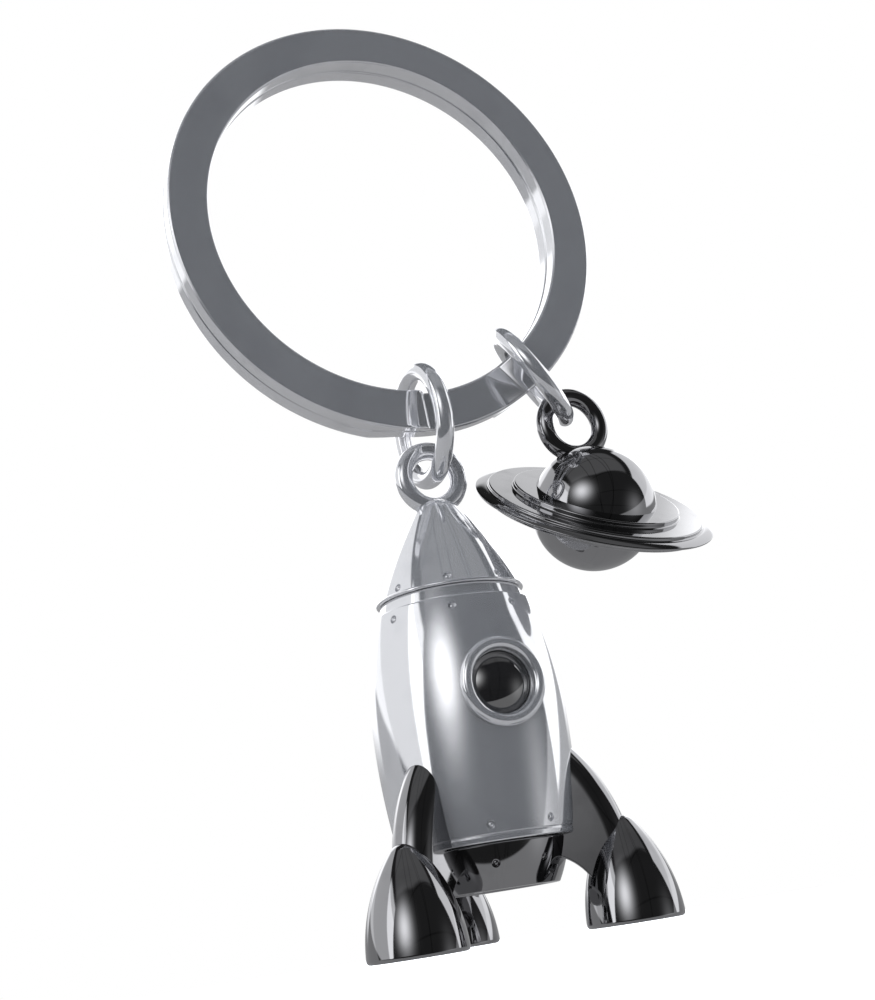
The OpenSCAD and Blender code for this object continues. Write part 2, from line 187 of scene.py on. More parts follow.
def outline(pieces, fillets=0.1, closed=False):
    """Samples the pieces, which join head to tail, and rounds each joint that turns."""
    count = len(pieces)
    sizes = fillets if isinstance(fillets, list) else [fillets] * count
    cuts = [[0.0, 0.0] for _ in pieces]
    turns = {}
    for i in range(count if closed else count - 1):
        a, b = pieces[i].way(True), pieces[(i + 1) % count].way()
        turn = math.atan2(a[0] * b[1] - a[1] * b[0], a @ b)
        if abs(turn) > SHARP_TURN:
            reach = sizes[i] * math.tan(abs(turn) / 2)
            cuts[i][1] = cuts[(i + 1) % count][0] = reach
            turns[i] = turn
    rows = []
    for i, piece in enumerate(pieces):
        part = piece.trimmed(*cuts[i])
        rows += part.sample()
        if i in turns:
            ahead = part.way(True)
            side = math.copysign(1, turns[i]) * np.array([-ahead[1], ahead[0]])
            a0 = math.degrees(math.atan2(-side[1], -side[0]))
            corner = Arc(part.end + side * sizes[i], sizes[i], a0, a0 + math.degrees(turns[i]))
            rows += [(corner.centre + corner.radius * polar(a), corner.sign * polar(a))
                     for a in np.linspace(corner.a0, corner.a1, CORNER_SAMPLES)]
    kept = [rows[0]]
    for row in rows[1:]:
        if np.linalg.norm(row[0] - kept[-1][0]) > 1e-4:
            kept.append(row)
    if closed and np.linalg.norm(kept[0][0] - kept[-1][0]) < 1e-4:
        kept.pop()
    return kept


def curve_centre(p, r, q, s):
    """Centre of the circle of radius r through p that keeps the distance s from q, on the left of p to q."""
    p, q = np.array(p, float), np.array(q, float)
    gap = q - p
    d = np.linalg.norm(gap)
    along = (r * r - s * s + d * d) / (2 * d)
    return p + (along * gap + math.sqrt(r * r - along * along) * np.array([-gap[1], gap[0]])) / d


def arc_at(centre, radius, z0, z1):
    """The stretch of a circle's outer side between two heights."""
    return Arc(centre, radius, *(math.degrees(math.asin((z - centre[1]) / radius)) for z in (z0, z1)))


# -------------------------------------------------------- meshes

def new_piece(name, points, faces, normals):
    """A smooth mesh piece from points in millimetres, with its exact surface normals at its points."""
    mesh = bpy.data.meshes.new(name)
    mesh.from_pydata((np.asarray(points) * MM).tolist(), [], faces)
    mesh.polygons.foreach_set("use_smooth", [True] * len(mesh.polygons))
    mesh.update()
    if normals is not None:
        mesh.normals_split_custom_set_from_vertices(np.asarray(normals).tolist())
    piece = bpy.data.objects.new(name, mesh)
    bpy.context.scene.collection.objects.link(piece)
    return piece


def grid_faces(rows, columns, wrap_rows=False):
    """The four-sided faces of a grid of points whose columns wrap round."""
    i = np.arange(rows if wrap_rows else rows - 1)[:, None]
    j = np.arange(columns)[None, :]

    def spot(a, b):
        return (a % rows) * columns + b % columns

    ring = [spot(i, j), spot(i, j + 1), spot(i + 1, j + 1), spot(i + 1, j)]
    return np.stack(ring, -1).reshape(-1, 4).tolist()


def turned(rows, closed=False, turns=TURNS):
    """Points, faces and normals of an outline turned about the Z axis. An end on it becomes one point."""
    on_axis = [bool(row[0][0] < 1e-6) for row in rows]
    body = [row for row, axis in zip(rows, on_axis) if not axis]
    around = np.array([polar(a) for a in np.arange(turns) * 360 / turns])

    def spin(pairs):
        flat = np.array(pairs)
        return np.stack([flat[:, None, 0] * around[:, 0], flat[:, None, 0] * around[:, 1],
                         np.repeat(flat[:, 1:2], turns, 1)], -1).reshape(-1, 3)

    points, normals = spin([p for p, _ in body]), spin([n for _, n in body])
    faces = grid_faces(len(body), turns, closed)
    for end, ring in ((0, 0), (-1, len(body) - 1)):
        if on_axis[end]:
            pole = len(points)
            points = np.vstack([points, [0, 0, rows[end][0][1]]])
            normals = np.vstack([normals, [0, 0, 1 if rows[end][1][1] > 0 else -1]])
            spokes = [(ring * turns + k, ring * turns + (k + 1) % turns) for k in range(turns)]
            faces += [(pole, b, a) if end == 0 else (pole, a, b) for a, b in spokes]
    return points, faces, normals


def moved(shape, place):
    """A shape's points and normals carried by a rigid 4 by 4 matrix in millimetres."""
    points, faces, normals = shape
    place = np.array(place)
    return points @ place[:3, :3].T + place[:3, 3], faces, normals @ place[:3, :3].T


def joined(shapes):
    """Several shapes as one."""
    points, faces, normals, first = [], [], [], 0
    for p, f, n in shapes:
        points.append(p)
        normals.append(n)
        faces += [tuple(v + first for v in face) for face in f]
        first += len(p)
    return np.vstack(points), faces, np.vstack(normals)


def at(where, *turns):
    """A placing matrix: turns are (degrees, axis) pairs, the last one applied first."""
    place = Matrix.Translation(Vector(where))
    for angle, axis in turns:
        place = place @ Matrix.Rotation(math.radians(angle), 4, axis)
    return place


def loop(radius, wire):
    """A closed loop of round wire about the Z axis."""
    rays = [polar(a) for a in np.arange(WIRE_SIDES) * 360 / WIRE_SIDES]
    return turned([(np.array([radius, 0]) + wire * ray, ray) for ray in rays], closed=True, turns=LOOP_TURNS)


def dress(piece, node, finish):
    """Gives a piece its finish, and ties it to the node that it replaces."""
    piece.data.materials.append(finish)
    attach(piece, BODY_OF[node])
    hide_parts(node)


# -------------------------------------------------------- finishes

def polished(name, color, metallic, roughness, wear):
    """A polished surface with faint waviness, hairline polishing marks and small worn patches."""
    material = bpy.data.materials.new(name)
    material.use_nodes = True
    nodes, links = material.node_tree.nodes, material.node_tree.links
    shader = nodes["Principled BSDF"]
    shader.inputs["Metallic"].default_value = metallic
    place = nodes.new("ShaderNodeTexCoord")

    def noise(scale, detail, stretch=(1, 1, 1)):
        mapping = nodes.new("ShaderNodeMapping")
        mapping.inputs["Scale"].default_value = stretch
        links.new(place.outputs["Object"], mapping.inputs["Vector"])
        texture = nodes.new("ShaderNodeTexNoise")
        texture.inputs["Scale"].default_value = scale
        texture.inputs["Detail"].default_value = detail
        links.new(mapping.outputs["Vector"], texture.inputs["Vector"])
        return texture.outputs["Fac"]

    def ramp(value, low, high, to_low, to_high):
        spread = nodes.new("ShaderNodeMapRange")
        for socket, number in zip(("From Min", "From Max", "To Min", "To Max"), (low, high, to_low, to_high)):
            spread.inputs[socket].default_value = number
        links.new(value, spread.inputs["Value"])
        return spread.outputs["Result"]

    smudge = noise(260, 4)
    mix = nodes.new("ShaderNodeMix")
    mix.data_type = "RGBA"
    mix.inputs["A"].default_value = (*color, 1)
    mix.inputs["B"].default_value = (*wear, 1)
    links.new(ramp(smudge, 0.52, 0.78, 0, 1), mix.inputs["Factor"])
    links.new(mix.outputs["Result"], shader.inputs["Base Color"])

    hairline = noise(900, 2, (1, 1, 14))
    total = nodes.new("ShaderNodeMath")
    total.operation = "ADD"
    links.new(ramp(smudge, 0.35, 0.75, roughness, roughness * 1.9), total.inputs[0])
    links.new(ramp(hairline, 0.55, 0.8, 0, roughness * 0.8), total.inputs[1])
    links.new(total.outputs["Value"], shader.inputs["Roughness"])

    wave = nodes.new("ShaderNodeBump")
    wave.inputs["Strength"].default_value = 0.12
    wave.inputs["Distance"].default_value = 0.00002
    links.new(noise(420, 2), wave.inputs["Height"])
    links.new(wave.outputs["Normal"], shader.inputs["Normal"])
    return material


NICKEL = polished("nickel_plate", (0.80, 0.80, 0.815), 0.82, 0.05, (0.70, 0.70, 0.72))
BLACK_NICKEL = polished("black_nickel_plate", (0.36, 0.36, 0.37), 1.0, 0.04, (0.26, 0.26, 0.27))
LENS = polished("black_glass", (0.008, 0.008, 0.009), 0.0, 0.02, (0.008, 0.008, 0.009))
for socket, number in (("IOR", 2.5), ("Coat Weight", 1.0), ("Coat IOR", 2.0), ("Coat Roughness", 0.02)):
    LENS.node_tree.nodes["Principled BSDF"].inputs[socket].default_value = number


# -------------------------------------------------------- split ring

def build_split_ring():
    """The band is swept through nearly two turns. Way counts degrees clockwise from the front layer's end."""
    layer = (RING_T - SEAM) / 2
    half, front = layer / 2, SEAM / 2 + layer / 2

    def ramp(t):
        """From 0 to 1 along a straight slope with a rounded bend at each end."""
        t = np.clip(t, 0, 1)
        curl = 2 * FOLD_BEND * (1 - FOLD_BEND)
        return np.where(t < FOLD_BEND, t * t / curl,
                        np.where(t > 1 - FOLD_BEND, 1 - (1 - t) ** 2 / curl,
                                 (t - FOLD_BEND / 2) / (1 - FOLD_BEND)))

    def centre(way, r):
        """Depth of the band's middle, front negative. Both folds run askew across the band."""
        share = (r - RING_R + BAND_W) / BAND_W
        fold_in, fold_len = FOLD_AT + FOLD_SKEW * share, FOLD_LEN + FOLD_FLARE * share
        down = ramp((way - fold_in) / fold_len)
        back = ramp((way - fold_in - FOLD_GAP) / fold_len)
        return -front + front * down + front * back

    def faces_at(way, r):
        """Depths of the band's front and back face. Each end thins over a fold, and is rounded."""
        near_start, near_end = way < 180, way > 520
        lower, upper = centre(way, r) - half, centre(way, r) + half
        upper = np.where(near_start, np.minimum(upper, centre(way + 360, r) - half - SEAM), upper)
        lower = np.where(near_end, np.maximum(lower, centre(way - 360, r) + half + SEAM), lower)
        start = np.clip(1 - (way - BAND_FROM) / FRONT_TAPER, 0, 1)
        lower = np.where(near_start, lower + (upper - END_T - lower) * (1 - np.sqrt(1 - start ** 2)), lower)
        end = np.clip(1 - (BAND_TO - way) / BACK_TAPER, 0, 1)
        upper = np.where(near_end, upper - (upper - END_T - lower) * (1 - np.sqrt(1 - end ** 2)), upper)
        return lower, upper

    section = outline([Line([0, 0], [BAND_W, 0]), Line([BAND_W, 0], [BAND_W, layer]),
                       Line([BAND_W, layer], [0, layer]), Line([0, layer], [0, 0])], BAND_EDGE, closed=True)
    flat = np.array([p for p, _ in section])
    stretches = [(BAND_FROM, 9, 0.3), (9, 318, 1.5), (318, 374, 0.4), (374, 675, 1.5), (675, BAND_TO, 0.5)]
    ways = np.concatenate([np.arange(*stretch) for stretch in stretches] + [[BAND_TO]])

    def spot(way, section_points):
        r = RING_R - BAND_W + section_points[:, 0]
        lower, upper = faces_at(way, r)
        share = section_points[:, 1] / layer
        y = lower + (upper - lower) * share
        a = math.radians(-way)
        return np.stack([r * math.sin(a), y, -r * math.cos(a)], -1)

    points = np.array([spot(w, flat) for w in ways])
    step = 0.02
    aside = step * np.array([[-n[1], n[0]] for _, n in section])
    along = np.array([spot(min(w + step, BAND_TO), flat) - spot(max(w - step, BAND_FROM), flat)
                      for w in ways])
    around = np.array([spot(w, flat + aside) - spot(w, flat - aside) for w in ways])
    normals = np.cross(along, around)
    normals /= np.linalg.norm(normals, axis=-1, keepdims=True)
    columns = len(flat)
    faces = [face[::-1] for face in grid_faces(len(ways), columns)]
    faces.append(tuple(range(columns)))
    faces.append(tuple(reversed(range((len(ways) - 1) * columns, len(ways) * columns))))
    piece = new_piece("split_ring_band", points.reshape(-1, 3), faces, normals.reshape(-1, 3))
    dress(piece, "split_ring", NICKEL)


# -------------------------------------------------------- jump rings and eyelets

def build_links():
    ring = loop(LINK_R, LINK_WIRE_R)
    tilts = {"jump_ring_rocket": [(-ROCKET_AT, "Y")],
             "jump_ring_planet": [(-PLANET_AT, "Y"), (PLANET_LINK_TWIST, "Z"), (PLANET_LINK_LEAN, "Y")]}
    for node, turns in tilts.items():
        shape = moved(ring, at(LINKS[node], *turns, (90, "Y")))
        dress(new_piece(node + "_wire", *shape), node, NICKEL)


def build_eyelets():
    for node, where, radius, finish in (("rocket_eyelet", ROCKET_EYE, ROCKET_EYE_R, NICKEL),
                                        ("planet_eyelet", PLANET_EYE, PLANET_EYE_R, BLACK_NICKEL)):
        shape = moved(loop(radius, EYE_WIRE_R), at(where, (90, "X")))
        dress(new_piece(node + "_loop", *shape), node, finish)


# -------------------------------------------------------- rocket

LOWER_C, UPPER_C = np.array([HULL_R - LOWER_CURVE, BELLY_Z]), np.array([HULL_R - UPPER_CURVE, BELLY_Z])
NOSE_TIP_C = np.array([0, NOSE_TOP - NOSE_TIP_R])
NOSE_C = curve_centre([NOSE_R, NOSE_Z], NOSE_CURVE, NOSE_TIP_C, NOSE_CURVE - NOSE_TIP_R)
NOZZLE_C = curve_centre([NOZZLE_R0, NOZZLE_Z], NOZZLE_CURVE, [NOZZLE_R1, HULL_Z0], NOZZLE_CURVE)
ROW_CURVES = {"nose": (NOSE_C, NOSE_CURVE, EIGHT_ROUND), "upper": (UPPER_C, UPPER_CURVE, EIGHT_ROUND),
              "lower": (LOWER_C, LOWER_CURVE, SIX_ROUND), "nozzle": (NOZZLE_C, NOZZLE_CURVE, SIX_ROUND)}


def curve_x(centre, radius, z):
    """How far out a circle's outer side is at a height."""
    return centre[0] + math.sqrt(radius ** 2 - (z - centre[1]) ** 2)


def rivet_places(row):
    """Placing matrices for a row's rivets in the rocket's frame, with +Z out of the surface."""
    centre, radius, around = ROW_CURVES[row]
    z = RIVET_ROWS[row]
    slope = math.degrees(math.asin((z - centre[1]) / radius))
    spot = [curve_x(centre, radius, z), 0, z]
    return [at([0, 0, 0], (a, "Z")) @ at(spot, (90 - slope, "Y")) for a in around]


def recess_outline():
    """The dimple round a rivet's head, as a cutter: a flat floor, a sloped wall and a soft rim."""
    return outline([Line([0, -DIMPLE_DEPTH], [DIMPLE_FLOOR_R, -DIMPLE_DEPTH]),
                    Line([DIMPLE_FLOOR_R, -DIMPLE_DEPTH], [DIMPLE_R, DIMPLE_RIM]),
                    Line([DIMPLE_R, DIMPLE_RIM], [DIMPLE_R, DIMPLE_TOP]),
                    Line([DIMPLE_R, DIMPLE_TOP], [0, DIMPLE_TOP])], 0.02)


def cut_away(piece, cutters):
    """Cuts the cutters, in the rocket's frame, out of a piece. Says which of its faces the cut made."""
    points, faces, _ = joined(cutters)
    tool = new_piece(piece.name + "_cutter", points + ROCKET, faces, None)
    mark = bpy.data.materials.new("cut_face")
    tool.data.materials.append(mark)
    piece.data.materials.append(bpy.data.materials.new("plain_face"))
    cut = piece.modifiers.new("cut", "BOOLEAN")
    cut.operation, cut.solver, cut.object, cut.material_mode = "DIFFERENCE", "EXACT", tool, "TRANSFER"
    graph = bpy.context.evaluated_depsgraph_get()
    mesh = bpy.data.meshes.new_from_object(piece.evaluated_get(graph))
    piece.modifiers.clear()
    piece.data = mesh
    bpy.data.objects.remove(tool)
    slots = np.zeros(len(mesh.polygons), int)
    mesh.polygons.foreach_get("material_index", slots)
    return slots == mesh.materials.find(mark.name)


def turned_normals(points, rows):
    """Normals at points on an outline turned about the Z axis, read off its nearest stretch."""
    flat = np.stack([np.hypot(points[:, 0], points[:, 1]), points[:, 2]], -1)
    spots = np.array([p for p, _ in rows])
    ways = np.array([n for _, n in rows])
    a, b = spots[:-1], spots[1:]
    span = b - a
    share = np.clip(((flat[:, None] - a) * span).sum(-1) / np.maximum((span ** 2).sum(-1), 1e-12), 0, 1)
    gap = np.linalg.norm(flat[:, None] - (a + share[..., None] * span), axis=-1)
    near = gap.argmin(1)
    t = share[np.arange(len(flat)), near][:, None]
    way = ways[near] * (1 - t) + ways[near + 1] * t
    outward = points[:, :2] / np.maximum(flat[:, :1], 1e-9)
    normals = np.column_stack([outward * way[:, :1], way[:, 1]])
    return normals / np.linalg.norm(normals, axis=1, keepdims=True)


def carve(piece, rows, cutters):
    """Cuts the cutters out of a turned piece, puts back its exact normals and sharpens the cut's edges."""
    cut_face = cut_away(piece, cutters)
    mesh = piece.data
    points = np.zeros(len(mesh.vertices) * 3)
    mesh.vertices.foreach_get("co", points)
    exact = turned_normals(points.reshape(-1, 3) / MM - ROCKET, rows)
    corner = np.zeros(len(mesh.loops), int)
    mesh.loops.foreach_get("vertex_index", corner)
    normals = exact[corner]
    sizes = np.zeros(len(mesh.polygons), int)
    mesh.polygons.foreach_get("loop_total", sizes)
    normals[cut_face[np.repeat(np.arange(len(sizes)), sizes)]] = 0
    edge_faces = {}
    for polygon in mesh.polygons:
        for key in polygon.edge_keys:
            edge_faces.setdefault(key, []).append(polygon.index)
    sharp = [len({bool(cut_face[f]) for f in edge_faces.get(e.key, [])}) > 1 for e in mesh.edges]
    mesh.edges.foreach_set("use_edge_sharp", sharp)
    mesh.normals_split_custom_set(normals.tolist())
    mesh.polygons.foreach_set("material_index", [0] * len(mesh.polygons))
    mesh.materials.clear()
    return piece


def rocket_piece(name, rows, turns=TURNS, closed=False):
    """A piece turned about the rocket's own axis."""
    return new_piece(name, *moved(turned(rows, closed, turns), at(ROCKET)))


def recesses(*rows):
    """The dimple cutters of some rivet rows."""
    dimple = turned(recess_outline(), turns=DIMPLE_TURNS)
    return [moved(dimple, place) for row in rows for place in rivet_places(row)]


def build_hull():
    bottom_r = curve_x(LOWER_C, LOWER_CURVE, HULL_Z0)
    groove_x = curve_x(LOWER_C, LOWER_CURVE, GROOVE_Z)
    rows = outline([
        Line([0, HULL_Z0], [bottom_r, HULL_Z0]),
        arc_at(LOWER_C, LOWER_CURVE, HULL_Z0, GROOVE_Z - GROOVE_R),
        Arc([groove_x, GROOVE_Z], GROOVE_R, 270, 90),
        arc_at(LOWER_C, LOWER_CURVE, GROOVE_Z + GROOVE_R, BELLY_Z),
        arc_at(UPPER_C, UPPER_CURVE, BELLY_Z, HULL_Z1),
        Line([curve_x(UPPER_C, UPPER_CURVE, HULL_Z1), HULL_Z1], [0, HULL_Z1])],
        [0.12, 0.03, 0.03, 0.1, 0.14, 0.1])
    pocket = outline([Line([0, POCKET_FLOOR], [POCKET_R, POCKET_FLOOR]),
                      Line([POCKET_R, POCKET_FLOOR], [POCKET_R, POCKET_TOP]),
                      Line([POCKET_R, POCKET_TOP], [0, POCKET_TOP])], 0.05)
    pocket = moved(turned(pocket, turns=SMALL_TURNS), at([0, 0, PORT_Z], (90, "X")))
    hull = rocket_piece("hull_shell", rows, FINE_TURNS)
    dress(carve(hull, rows, recesses("upper", "lower") + [pocket]), "hull", NICKEL)


def build_nose():
    bead_c = np.array([NOSE_R, NOSE_Z + BEAD_R])
    bead_end = bead_c + BEAD_R * polar(BEAD_END)
    foot = [curve_x(NOSE_C, NOSE_CURVE, bead_end[1]), bead_end[1]]
    touch = math.degrees(math.atan2(*(NOSE_TIP_C - NOSE_C)[::-1]))
    rows = outline([
        Line([0, NOSE_Z], [NOSE_R, NOSE_Z]),
        Arc(bead_c, BEAD_R, -90, BEAD_END),
        Line(bead_end, foot),
        Arc(NOSE_C, NOSE_CURVE, math.degrees(math.asin((foot[1] - NOSE_C[1]) / NOSE_CURVE)), touch),
        Arc(NOSE_TIP_C, NOSE_TIP_R, touch, 90)], 0.03)
    nose = rocket_piece("nose_cone_shell", rows, FINE_TURNS)
    dress(carve(nose, rows, recesses("nose")), "nose_cone", NICKEL)


def build_collar():
    low, high = HULL_Z1 + FIT, NOSE_Z - FIT
    top_r = COLLAR_R - (high - low) * math.tan(math.radians(COLLAR_SLOPE))
    rows = outline([Line([COLLAR_IN, low], [COLLAR_R, low]), Line([COLLAR_R, low], [top_r, high]),
                    Line([top_r, high], [COLLAR_IN, high]), Line([COLLAR_IN, high], [COLLAR_IN, low])],
                   0.06, closed=True)
    dress(rocket_piece("collar_band", rows, closed=True), "collar", NICKEL)


def build_nozzle():
    throat_z = NOZZLE_Z + BELL_DEPTH
    top = HULL_Z0 - FIT
    rows = outline([
        Line([0, throat_z], [BELL_THROAT_R, throat_z]),
        Line([BELL_THROAT_R, throat_z], [BELL_R, NOZZLE_Z]),
        Line([BELL_R, NOZZLE_Z], [NOZZLE_R0, NOZZLE_Z]),
        arc_at(NOZZLE_C, NOZZLE_CURVE, NOZZLE_Z, top),
        Line([curve_x(NOZZLE_C, NOZZLE_CURVE, top), top], [0, top])], 0.14)
    nozzle = rocket_piece("nozzle_bell", rows, FINE_TURNS)
    dress(carve(nozzle, rows, recesses("nozzle")), "nozzle", BLACK_NICKEL)


def build_rivets():
    """Low domed heads that sit in their dimples, on short shanks."""
    curve = (RIVET_R ** 2 + RIVET_RISE ** 2) / (2 * RIVET_RISE)
    slope = math.degrees(math.asin(RIVET_R / curve))
    rows = outline([Line([0, RIVET_SHANK], [RIVET_R, RIVET_SHANK]),
                    Line([RIVET_R, RIVET_SHANK], [RIVET_R, RIVET_FLOOR]),
                    Arc([0, RIVET_FLOOR + RIVET_RISE - curve], curve, 90 - slope, 90)], 0.04)
    head = turned(rows, turns=RIVET_TURNS)
    for row, node, finish in (("nose", "nose_rivets", NICKEL), ("upper", "hull_upper_rivets", NICKEL),
                              ("lower", "hull_lower_rivets", NICKEL),
                              ("nozzle", "nozzle_rivets", BLACK_NICKEL)):
        shape = moved(joined([moved(head, place) for place in rivet_places(row)]), at(ROCKET))
        dress(new_piece(node + "_heads", *shape), node, finish)


def build_porthole():
    port = at(ROCKET + [0, 0, PORT_Z], (90, "X"))
    bead = np.array([BEZEL_R - BEZEL_BEAD, BEZEL_FRONT - BEZEL_BEAD])
    ledge = bead[1] - BEZEL_LEDGE
    inner = bead[0] - BEZEL_BEAD
    under = bead + BEZEL_BEAD * polar(-BEAD_TUCK)
    bore, neck = LENS_R + FIT, under[0]
    rows = outline([
        Line([bore, POCKET_FLOOR], [BEZEL_TAIL_R, POCKET_FLOOR]),
        Line([BEZEL_TAIL_R, POCKET_FLOOR], [BEZEL_TAIL_R, BEZEL_TAIL_TOP]),
        Line([BEZEL_TAIL_R, BEZEL_TAIL_TOP], [neck, BEZEL_TAIL_TOP]), Line([neck, BEZEL_TAIL_TOP], under),
        Arc(bead, BEZEL_BEAD, -BEAD_TUCK, 180), Line([inner, bead[1]], [inner, ledge]),
        Line([inner, ledge], [bore, ledge]), Line([bore, ledge], [bore, POCKET_FLOOR])], 0.03, closed=True)
    dress(new_piece("porthole_bezel_ring", *moved(turned(rows, closed=True), port)), "porthole_bezel", NICKEL)
    slope = math.degrees(math.asin(LENS_R / LENS_CURVE))
    edge = LENS_FRONT - LENS_CURVE + LENS_CURVE * math.cos(math.radians(slope))
    back = POCKET_FLOOR + FIT
    rows = outline([Line([0, back], [LENS_R, back]), Line([LENS_R, back], [LENS_R, edge]),
                    Arc([0, LENS_FRONT - LENS_CURVE], LENS_CURVE, 90 - slope, 90)], 0.05)
    lens = new_piece("porthole_lens_dome", *moved(turned(rows, turns=SMALL_TURNS), port))
    dress(lens, "porthole_lens", LENS)


def fin_section(inner, spine_angle, facing):
    """Points and normals round a fin's cross-section: a rounded inner edge and a full round outer one."""
    half = FIN_T / 2
    down, out = polar(facing), polar(spine_angle)
    rim, ridge = inner - down * FIN_EDGE, SPINE + (FIN_CURVE - half) * out
    points, normals = [], []
    for centre, way, lift, radius, side, angles in (
            (rim, down, half - FIN_EDGE, FIN_EDGE, 1, np.linspace(90, 0, 7)),
            (ridge, out, 0, half, 1, np.linspace(0, 180, 29)),
            (rim, down, half - FIN_EDGE, FIN_EDGE, -1, np.linspace(0, 90, 7))):
        for angle in angles:
            c, s = polar(angle)
            flat = centre + way * radius * s
            points.append([flat[0], side * (lift + radius * c), flat[1]])
            normals.append([way[0] * s, side * c, way[1] * s])
    return points, normals


def build_fins():
    """A flat blade with a full round outer edge and an arched foot side, swept from hull to foot."""
    hidden = [(FIN_TOP + (FIN_MEET - FIN_TOP) * t, SPINE_TOP + (SPINE_MEET - SPINE_TOP) * t, 180.0)
              for t in np.linspace(0, 1, 14)[:-1]]
    arched = [(ARCH + ARCH_R * polar(a), s, a + 180)
              for a, s in zip(np.linspace(ARCH_TOP, ARCH_FOOT, 40), np.linspace(SPINE_MEET, SPINE_FOOT, 40))]
    points, normals = (np.array(part) for part in zip(*(fin_section(*place) for place in hidden + arched)))
    rows, columns = points.shape[:2]
    faces = grid_faces(rows, columns)
    faces.append(tuple(reversed(range(columns))))
    faces.append(tuple(range((rows - 1) * columns, rows * columns)))
    blade = (points.reshape(-1, 3), faces, normals.reshape(-1, 3))
    for side, angle in FIN_ANGLES.items():
        shape = moved(blade, at(ROCKET, (angle, "Z")))
        dress(new_piece(f"fin_{side}_blade", *shape), "fin_" + side, BLACK_NICKEL)


def build_feet():
    centre = np.array([FOOT_R - FOOT_CURVE, 0])
    tip_z = math.sqrt((FOOT_CURVE - FOOT_TIP_R) ** 2 - (FOOT_CURVE - FOOT_R) ** 2)
    touch = math.degrees(math.atan2(tip_z, -centre[0]))
    rows = outline([Line([0, 0], [FOOT_R, 0]), Arc(centre, FOOT_CURVE, 0, touch),
                    Arc([0, tip_z], FOOT_TIP_R, touch, 90)], 0.28)
    foot = turned(rows)
    for side, angle in FIN_ANGLES.items():
        shape = moved(foot, at(ROCKET, (angle, "Z")) @ at([FOOT_AT, 0, 0]))
        dress(new_piece(f"foot_{side}_cone", *shape), "foot_" + side, BLACK_NICKEL)


# -------------------------------------------------------- planet

def build_planet():
    rows = [(GLOBE_R * polar(a), polar(a)) for a in np.linspace(-90, 90, 129)]
    dress(new_piece("planet_globe_ball", *moved(turned(rows), at(GLOBE))), "planet_globe", BLACK_NICKEL)
    rim, step, core = (t / 2 for t in (HALO_RIM_T, HALO_STEP_T, HALO_CORE_T))
    drop = rim - HALO_LIP_R
    slant = math.degrees(math.asin(-drop / (HALO_LIP_R - HALO_TIP_R)))
    tip_c = np.array([HALO_STEP_R + (HALO_LIP_R - HALO_TIP_R) * math.cos(math.radians(slant)), 0])
    side = [Line([HALO_BORE, core], [HALO_CORE_R, core]), Line([HALO_CORE_R, core], [HALO_CORE_R, step]),
            Line([HALO_CORE_R, step], [HALO_STEP_R, step]), Line([HALO_STEP_R, step], [HALO_STEP_R, rim])]
    below = [Line(p.start * [1, -1], p.end * [1, -1]) for p in side]
    above = [Line(p.end, p.start) for p in reversed(side)]
    lip = [Arc([HALO_STEP_R, -drop], HALO_LIP_R, -90, -slant), Arc(tip_c, HALO_TIP_R, -slant, slant),
           Arc([HALO_STEP_R, drop], HALO_LIP_R, slant, 90)]
    rows = outline(below + lip + above + [Line([HALO_BORE, core], [HALO_BORE, -core])], 0.13, closed=True)
    place = at(GLOBE, (HALO_HEADING, "Z"), (HALO_TILT, "Y")) @ at([0, 0, HALO_LIFT])
    shape = moved(turned(rows, closed=True, turns=HALO_TURNS), place)
    dress(new_piece("planet_ring_disc", *shape), "planet_ring", BLACK_NICKEL)


# -------------------------------------------------------- studio

CAMERA_AT = np.array([-42.376, -100.432, -53.946])
CAMERA_AZIMUTH, CAMERA_RISE, CAMERA_ROLL, CAMERA_LENS = -23.40, 15.888, 8.983, 53.935


def build_camera():
    """The camera stands to the left of the ring and level with the feet, and looks up at the whole object."""
    a, p, roll = (math.radians(v) for v in (CAMERA_AZIMUTH, CAMERA_RISE, CAMERA_ROLL))
    ahead = np.array([-math.sin(a) * math.cos(p), math.cos(a) * math.cos(p), math.sin(p)])
    right = np.array([math.cos(a), math.sin(a), 0])
    down = np.cross(ahead, right)
    across = math.cos(roll) * right + math.sin(roll) * down
    up = math.sin(roll) * right - math.cos(roll) * down
    data = bpy.data.cameras.new("camera")
    data.lens, data.sensor_width, data.clip_start = CAMERA_LENS, 36, 0.005
    camera = bpy.data.objects.new("camera", data)
    turn = Matrix([across, up, -ahead]).transposed().to_4x4()
    camera.matrix_world = Matrix.Translation(Vector(CAMERA_AT * MM)) @ turn
    bpy.context.scene.collection.objects.link(camera)
    bpy.context.scene.camera = camera


def heading(azimuth, rise):
    """Direction from the object: azimuth 0 is toward the front (-Y), and +90 toward +X."""
    a, e = math.radians(azimuth), math.radians(rise)
    return Vector((math.sin(a) * math.cos(e), -math.cos(a) * math.cos(e), math.sin(e)))


